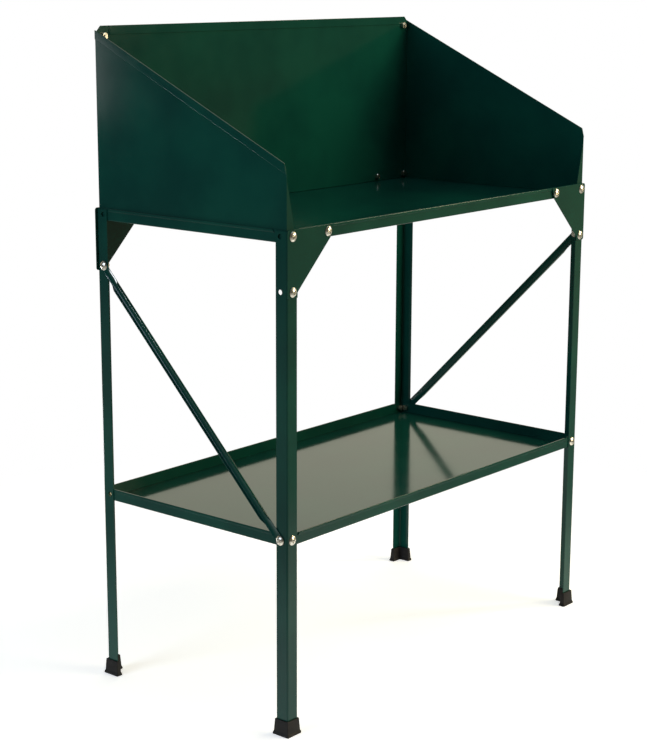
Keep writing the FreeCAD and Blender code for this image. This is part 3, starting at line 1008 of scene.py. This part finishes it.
@dataclass
class HexNuts(FastenerKind):
    """M6 hexagon nuts with chamfered corners."""

    loose_degrees: float = 20
    point_degrees: float = 30
    flats: float = 10
    bore: float = 6.1
    bore_sides: int = 24
    drill_share: float = 1.5
    ball_share: float = 1.07
    ball_squash: float = 0.68
    ball_sides: int = 36
    ball_rings: int = 24

    def seat(self, facing: Facing, low: Vector, high: Vector) -> Vector:
        """Find the middle of the nut."""
        return (low + high) / 2

    def spin(self, facing: Facing) -> float:
        """Turn the nut so that two of its corners point up and down."""
        return math.radians(self.point_degrees) if facing.axis == 1 else 0.0

    def sizes(self) -> dict[str, float | Spot]:
        """Give the nut's named sizes, its height read from the CAD solid.

        Returns:
            A length or a scale for each of the tree's inputs, in metres.
        """
        low, high = solids(self.nodes[0])[0]
        corner = self.flats / math.sqrt(3) * MM
        height = high.y - low.y
        return {
            "Corner Radius": corner,
            "Height": height,
            "Bore Radius": self.bore / 2 * MM,
            "Drill Length": height * self.drill_share,
            "Ball Radius": corner * self.ball_share,
            "Ball Scale": (1.0, 1.0, self.ball_squash),
        }

    def pattern_tree(self) -> bpy.types.NodeTree:
        """Build the tree: a hexagon inside a flattened ball, less its bore.

        Returns:
            The tree.
        """
        tree = self.start_tree()
        size = tree.nodes["Group Input"].outputs
        prism = add_node(
            tree,
            "GeometryNodeMeshCylinder",
            {"Vertices": 6},
            {"Radius": size["Corner Radius"], "Depth": size["Height"]},
        )
        ball = add_node(
            tree,
            "GeometryNodeMeshUVSphere",
            {"Segments": self.ball_sides, "Rings": self.ball_rings},
            {"Radius": size["Ball Radius"]},
        )
        squat = add_node(
            tree,
            "GeometryNodeTransform",
            None,
            {"Geometry": ball.outputs["Mesh"], "Scale": size["Ball Scale"]},
        )
        blank = add_node(
            tree, "GeometryNodeMeshBoolean", {"operation": "INTERSECT", "solver": "FLOAT"}
        )
        for solid in (prism.outputs["Mesh"], squat.outputs[0]):
            tree.links.new(solid, blank.inputs[1])
        drill = add_node(
            tree,
            "GeometryNodeMeshCylinder",
            {"Vertices": self.bore_sides},
            {"Radius": size["Bore Radius"], "Depth": size["Drill Length"]},
        )
        nut = add_node(
            tree,
            "GeometryNodeMeshBoolean",
            {"operation": "DIFFERENCE", "solver": "FLOAT"},
            {0: blank.outputs["Mesh"], 1: drill.outputs["Mesh"]},
        )
        self.copy_to_points(tree, nut.outputs["Mesh"])
        return tree


@dataclass
class Brace:
    """A diagonal channel brace, its two lips pressed flat towards each bolt."""

    side: str
    sheet: float = 1.2
    width: float = 14
    lip: float = 4.5
    flat: float = 31
    ramp: float = 14
    ridge: float = 0.5
    least_ridge: float = 0.02
    corner: float = 2.4
    corner_degrees: tuple[float, ...] = (0, 22.5, 45, 67.5)
    corner_width_share: float = 0.9
    corner_height_share: float = 0.8
    lip_round: float = 0.35
    lip_lean: float = 0.15
    lip_fold: float = 0.5
    step: float = 2
    cap_degrees: tuple[float, ...] = (88, 75, 60, 45, 30, 15)
    tip_half_width: float = 0.548
    crease_degrees: float = 50

    def section(self, lip: float, half: float) -> list[tuple[float, float]]:
        """Draw the channel's section, opening away from the bench.

        Args:
            lip: The height of the lips over the web.
            half: Half of the width.

        Returns:
            Points across and outward, round the section.
        """
        outer = min(self.corner, half * self.corner_width_share)
        top = self.sheet + lip
        soft = min(self.lip_round, lip / 2)
        inner = half - self.sheet
        right = [
            (half - outer * (1 - math.sin(turn)), outer * (1 - math.cos(turn)))
            for turn in map(math.radians, self.corner_degrees)
        ]
        right += [
            (half, min(outer, top * self.corner_height_share)),
            (half, top - soft),
            (half - soft, top),
            (inner + soft, top),
            (inner, top - soft),
            (inner - self.lip_lean, self.sheet + soft),
            (inner - self.lip_fold, self.sheet),
        ]
        left = [(-across, outward) for across, outward in reversed(right)]
        return right + left

    def lip_height(self, along: float, length: float) -> float:
        """Give the lips' height at a distance along the brace.

        Args:
            along: The distance from the upper bolt.
            length: The distance between the bolts.

        Returns:
            The height over the web.
        """
        half = self.width / 2
        near = min(along, length - along)
        share = min(max((near - self.flat) / self.ramp, 0), 1)
        start = min(max((near - half) / half, self.least_ridge), 1)
        swell = share * share * (3 - 2 * share)
        return self.ridge * start + (self.lip - self.ridge) * swell

    def half_width(self, along: float, length: float) -> float:
        """Give half the width at a distance along the brace: a half round at the ends.

        Args:
            along: The distance from the upper bolt.
            length: The distance between the bolts.

        Returns:
            Half of the width.
        """
        over = max(-along, along - length, 0)
        half = self.width / 2
        return max(math.sqrt(max(half ** 2 - over ** 2, 0)), self.tip_half_width)

    def stations(self, length: float) -> list[float]:
        """List the distances along the brace where its section is drawn.

        Args:
            length: The distance between the bolts.

        Returns:
            Distances from the upper bolt, from before it to past the lower one.
        """
        half = self.width / 2
        cap = [half * math.sin(math.radians(turn)) for turn in self.cap_degrees]
        count = int((length / 2) / self.step)
        body = [length / 2 * index / count for index in range(count + 1)]
        near = [-value for value in cap] + body
        return near + [length - value for value in reversed(near[:-1])]

    def finish(self) -> None:
        """Build the brace between its two bolts, coat it and hand it over."""
        bolts = solids(f"bolts_brace_{self.side}")
        ends = sorted(((low + high) / 2 for low, high in bolts), key=lambda end: -end.z)
        sign = 1 if ends[0].x > 0 else -1
        leg_low, leg_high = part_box(f"leg_front_{self.side}")
        face = leg_high.x if sign > 0 else leg_low.x
        start, stop = (Vector((face, end.y, end.z)) for end in ends)
        length = (stop - start).length / MM
        along = (stop - start).normalized()
        outward = Vector((sign, 0, 0))
        across = outward.cross(along)
        rings = []
        for station in self.stations(length):
            half = self.half_width(station, length)
            points = self.section(self.lip_height(station, length), half)
            origin = start + along * station * MM
            rings.append([origin + (across * v + outward * w) * MM for v, w in points])
        item = skin(f"brace_{self.side}_channel", rings, self.crease_degrees)
        hand_over(item, COAT, [f"brace_{self.side}"])


@dataclass
class Shoe:
    """A moulded shoe on the foot of an angle leg.

    Each row of its four bends has a stand-off, a corner radius and a height. The stand-off
    of the sole's and the rim's rows is measured back from the rim's reach, that of the
    wall's rows out from the drafted wall, and that of the mouth's rows out from the grip.
    """

    end: str
    side: str
    flange: float = 21
    sheet: float = 1.5
    height: float = 24
    wall: float = 2.3
    draft: float = 4
    flare: float = 5.2
    rim: float = 4.5
    sole: float = 4
    grip: float = 0.1
    arc_points: int = 6
    crease_degrees: float = 48
    sole_bend: tuple[Spot, ...] = ((0.9, 1.8, 0.0), (0.25, 2.2, 0.25), (0.0, 2.4, 0.9))
    rim_bend: tuple[Spot, ...] = ((0.0, 2.4, -2.2), (0.3, 2.2, -1.3), (0.9, 1.9, -0.6))
    wall_foot: tuple[Spot, ...] = ((0.343, 1.5, -0.1), (0.05, 1.3, 0.7), (0.0, 1.2, 2.0))
    wall_top: tuple[Spot, ...] = ((0.0, 1.1, -0.8), (-0.117, 1.0, -0.25), (-0.45, 0.9, 0.0))
    mouth: tuple[Spot, ...] = ((0.5, 0.5, 0.0), (0.1, 0.4, -0.3), (0.0, 0.35, -1.0))

    def outline(self, offset: float, radius: float, z: float) -> list[Vector]:
        """Draw the angle-shaped outline round the leg at one height.

        Args:
            offset: How far it stands off the leg's faces.
            radius: The rounding of its corners.
            z: The height.

        Returns:
            Points from the leg's outer corner, in millimetres.
        """
        far, near = self.flange + offset, self.sheet + offset
        corners = [
            (-offset, -offset), (far, -offset), (far, near),
            (near, near), (near, far), (-offset, far),
        ]
        points = []
        for index, corner in enumerate(corners):
            here = Vector(corner)
            before = (Vector(corners[index - 1]) - here).normalized()
            after = (Vector(corners[(index + 1) % len(corners)]) - here).normalized()
            centre = here + (before + after) * radius
            for step in range(self.arc_points):
                turn = math.pi / 2 * step / (self.arc_points - 1)
                spot = centre - after * radius * math.cos(turn) - before * radius * math.sin(turn)
                points.append(Vector((spot.x, spot.y, z)))
        return points

    def levels(self) -> list[Spot]:
        """List the outlines from the sole up the outside and down into the socket.

        Returns:
            The stand-off, corner radius and height of each.
        """
        slope = math.tan(math.radians(self.draft))
        rows = [(self.flare - back, radius, rise) for back, radius, rise in self.sole_bend]
        rows += [
            (self.flare - back, radius, self.rim + rise) for back, radius, rise in self.rim_bend
        ]
        for base, bend in ((self.rim, self.wall_foot), (self.height, self.wall_top)):
            for extra, radius, rise in bend:
                drafted = self.wall + (self.height - base - rise) * slope
                rows.append((drafted + extra, radius, base + rise))
        rows += [
            (self.grip + extra, radius, self.height + rise) for extra, radius, rise in self.mouth
        ]
        socket_radius = self.mouth[-1][1]
        return rows + [(self.grip, socket_radius, self.sole)]

    def finish(self) -> None:
        """Build the shoe round its leg, dress it and hand it over."""
        leg_low, leg_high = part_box(f"leg_{self.end}_{self.side}")
        x_sign = 1 if self.side == "right" else -1
        y_sign = 1 if self.end == "rear" else -1
        corner = Vector((
            leg_high.x if x_sign > 0 else leg_low.x,
            leg_high.y if y_sign > 0 else leg_low.y,
            0,
        ))
        rings = [
            [
                corner + Vector((-x_sign * point.x, -y_sign * point.y, point.z)) * MM
                for point in self.outline(offset, radius, z)
            ]
            for offset, radius, z in self.levels()
        ]
        item = skin(f"shoe_{self.end}_{self.side}", rings, self.crease_degrees)
        hand_over(item, RUBBER, [f"foot_{self.end}_{self.side}"])


@dataclass(frozen=True)
class Lamp:
    """A soft rectangular lamp. Its place, its aim and its size are in metres."""

    name: str
    place: Spot
    aim: Spot
    size: tuple[float, float]
    watts: float
    colour: str

    def hang(self) -> None:
        """Hang the lamp, unseen by the camera."""
        data = bpy.data.lights.new(self.name, "AREA")
        data.shape = "RECTANGLE"
        data.size, data.size_y = self.size
        data.energy = self.watts
        data.color = linear(self.colour)[:3]
        item = bpy.data.objects.new(self.name, data)
        place = Vector(self.place)
        item.location = place
        item.rotation_euler = (Vector(self.aim) - place).to_track_quat("-Z", "Y").to_euler()
        item.visible_camera = False
        bpy.context.scene.collection.objects.link(item)


MIDDLE = (0.0, 0.0, 0.6)
LAMPS = (
    Lamp("front_lamp", (1.5, -2.9, 1.7), MIDDLE, (1.6, 1.6), 66, "#FFEEC8"),
    Lamp("left_lamp", (-3.4, 0.6, 1.8), MIDDLE, (1.6, 1.6), 48, "#D2E6FF"),
    Lamp("top_lamp", (0.2, -0.5, 3.0), MIDDLE, (1.5, 1.5), 14, "#D8EAFF"),
    Lamp("rear_left_lamp", (-2.5, 2.6, 0.84), (-0.377, 0.19, 0.9), (0.15, 0.4), 0.8, "#FFFFFF"),
    Lamp("edge_lamp", (1.75, -1.2, 1.75), (-0.14, -0.19, 0.745), (0.25, 1.0), 18, "#FFEFC0"),
    Lamp("low_rear_lamp", (-0.72, 1.65, 0.01), (-0.72, 1.65, 1.0), (0.45, 0.7), 20, "#F4FAFF"),
)


@dataclass(frozen=True)
class Backdrop:
    """A pale backdrop all round, brightest behind the bench, that the gloss coat mirrors.

    The camera itself sees plain white. Heights run from -1 straight down to 1 straight up.
    """

    seen: str = "#FFFFFF"
    soft: str = "#FFF9E2"
    warm: str = "#FFF6B4"
    floor: str = "#FFFBEC"
    behind: Fade = Fade(0.2, 0.85, 0.1, 1.12)
    above: Fade = Fade(-0.15, 0.1, 0.35, 1.0)
    beside: Fade = Fade(0.6, 1.0, 0.0, 0.33)
    beside_dip: float = -0.2
    low: Fade = Fade(-0.13, -0.03, 1.0, 0.15)
    off_floor: Fade = Fade(-0.25, -0.12, 0.0, 1.0)
    far_floor: Fade = Fade(-0.24, -0.11, 0.34, 0.0)

    def hang(self, yaw: float) -> None:
        """Build the backdrop as the scene's world.

        Args:
            yaw: The way that the camera looks, in radians from +Y towards +X.
        """
        world = bpy.data.worlds.new("pale_backdrop")
        bpy.context.scene.world = world
        world.use_nodes = True
        tree = world.node_tree
        plain = tree.nodes["Background"]
        plain.inputs["Color"].default_value = linear(self.seen)
        plain.inputs["Strength"].default_value = 1.0
        way = add_node(tree, "ShaderNodeTexCoord").outputs["Generated"]
        height = add_node(tree, "ShaderNodeSeparateXYZ", None, {0: way}).outputs["Z"]
        ahead = (math.sin(yaw), math.cos(yaw), 0.0)
        aside = (math.sin(yaw), -math.cos(yaw), self.beside_dip)
        behind, beside = (
            add_node(
                tree, "ShaderNodeVectorMath", {"operation": "DOT_PRODUCT", 1: toward}, {0: way}
            ).outputs["Value"]
            for toward in (ahead, aside)
        )
        glow, warmth, above, low, off_floor, far_floor = (
            add_node(tree, "ShaderNodeMapRange", fade.settings, {"Value": value}).outputs["Result"]
            for fade, value in (
                (self.behind, behind),
                (self.beside, beside),
                (self.above, height),
                (self.low, height),
                (self.off_floor, height),
                (self.far_floor, height),
            )
        )
        product = {"operation": "MULTIPLY"}
        level = add_node(tree, "ShaderNodeMath", product, {0: glow, 1: above})
        band = add_node(tree, "ShaderNodeMath", product, {0: low, 1: off_floor})
        warm_level = add_node(tree, "ShaderNodeMath", product, {0: warmth, 1: band.outputs[0]})
        soft, warm, under = (
            add_node(
                tree, "ShaderNodeBackground", {"Color": linear(colour)}, {"Strength": strength}
            ).outputs[0]
            for colour, strength in (
                (self.soft, level.outputs[0]),
                (self.warm, warm_level.outputs[0]),
                (self.floor, far_floor),
            )
        )
        more = add_node(tree, "ShaderNodeAddShader", None, {0: warm, 1: under})
        both = add_node(tree, "ShaderNodeAddShader", None, {0: soft, 1: more.outputs[0]})
        camera_ray = add_node(tree, "ShaderNodeLightPath").outputs["Is Camera Ray"]
        mix = add_node(
            tree,
            "ShaderNodeMixShader",
            None,
            {0: camera_ray, 1: both.outputs[0], 2: plain.outputs[0]},
        )
        tree.links.new(mix.outputs[0], tree.nodes["World Output"].inputs["Surface"])


@dataclass
class Studio:
    """The camera, the pale floor, the backdrop and the lamps. Lengths are in metres."""

    eye: Spot = (-2.2159, -1.8041, 1.0943)
    pitch_degrees: float = 12.816
    yaw_degrees: float = 49.06
    sensor_mm: float = 36
    lens_mm: float = 86.3807
    shift: tuple[float, float] = (0.0339, 0.0084)
    clip: tuple[float, float] = (0.05, 60)
    floor_radius: float = 1.3
    floor_segments: int = 96
    floor_rim_share: float = 0.98
    floor_fade: float = 0.45
    floor_colour: str = "#F4F5F8"
    floor_glow: str = "#FFFFFF"
    floor_glow_strength: float = 0.55
    floor_roughness: float = 0.9
    floor_specular: float = 0.1

    def camera(self) -> None:
        """Set up the camera."""
        data = bpy.data.cameras.new("camera")
        data.sensor_width = self.sensor_mm
        data.lens = self.lens_mm
        data.shift_x, data.shift_y = self.shift
        data.clip_start, data.clip_end = self.clip
        item = bpy.data.objects.new("camera", data)
        item.location = self.eye
        item.rotation_euler = (
            math.radians(90 - self.pitch_degrees), 0, -math.radians(self.yaw_degrees)
        )
        bpy.context.scene.collection.objects.link(item)
        bpy.context.scene.camera = item

    def floor(self) -> None:
        """Lay a round floor of matt white paint that fades out towards its edge."""
        shape = bmesh.new()
        bmesh.ops.create_circle(
            shape, cap_ends=True, segments=self.floor_segments, radius=self.floor_radius
        )
        mesh = bpy.data.meshes.new("floor")
        shape.to_mesh(mesh)
        shape.free()
        item = new_object("floor", mesh)
        material = bpy.data.materials.new("matt_white_floor_paint")
        material.use_nodes = True
        tree = material.node_tree
        shader = tree.nodes["Principled BSDF"]
        place = add_node(tree, "ShaderNodeTexCoord").outputs["Object"]
        reach = add_node(tree, "ShaderNodeVectorMath", {"operation": "LENGTH"}, {0: place})
        edge = Fade(self.floor_fade, self.floor_radius * self.floor_rim_share, 1.0, 0.0)
        fade = add_node(
            tree, "ShaderNodeMapRange", edge.settings, {"Value": reach.outputs["Value"]}
        )
        shader.inputs["Base Color"].default_value = linear(self.floor_colour)
        shader.inputs["Roughness"].default_value = self.floor_roughness
        shader.inputs["Specular IOR Level"].default_value = self.floor_specular
        shader.inputs["Emission Color"].default_value = linear(self.floor_glow)
        shader.inputs["Emission Strength"].default_value = self.floor_glow_strength
        tree.links.new(fade.outputs["Result"], shader.inputs["Alpha"])
        mesh.materials.append(material)

    def build(self) -> None:
        """Set up everything that isn't the bench."""
        self.camera()
        self.floor()
        Backdrop().hang(math.radians(self.yaw_degrees))
        for lamp in LAMPS:
            lamp.hang()
        view = bpy.context.scene.view_settings
        view.view_transform = "Standard"
        view.look = "None"


ENDS = ("front", "rear")
SIDES = ("left", "right")


def main() -> None:
    """Build the bench in the order that it is put together, then the studio."""
    logging.basicConfig(level=logging.INFO, format="%(message)s")
    for end in ENDS:
        for side in SIDES:
            PressedSheet(f"leg_{end}_{side}").finish()
            PressedSheet(f"gusset_{end}_{side}").finish()
            Shoe(end, side).finish()
    for node in ("worktop_tray", "lower_shelf"):
        PressedSheet(node).finish()
    for node in ("back_panel", "side_panel_left", "side_panel_right"):
        HemmedPanel(node).finish()
    for side in SIDES:
        Brace(side).finish()
    corners = [f"gusset_{end}_{side}" for end in ENDS for side in SIDES]
    others = ["shelf", "back_panel"] + [f"brace_{side}" for side in SIDES]
    short_seed = 11
    MushroomBolts("bolts_long", tuple(f"bolts_{name}" for name in corners)).finish()
    MushroomBolts("bolts_short", tuple(f"bolts_{name}" for name in others), short_seed).finish()
    HexNuts("nuts", tuple(f"nuts_{name}" for name in corners + others)).finish()
    Studio().build()


if __name__ == "__main__":
    main()
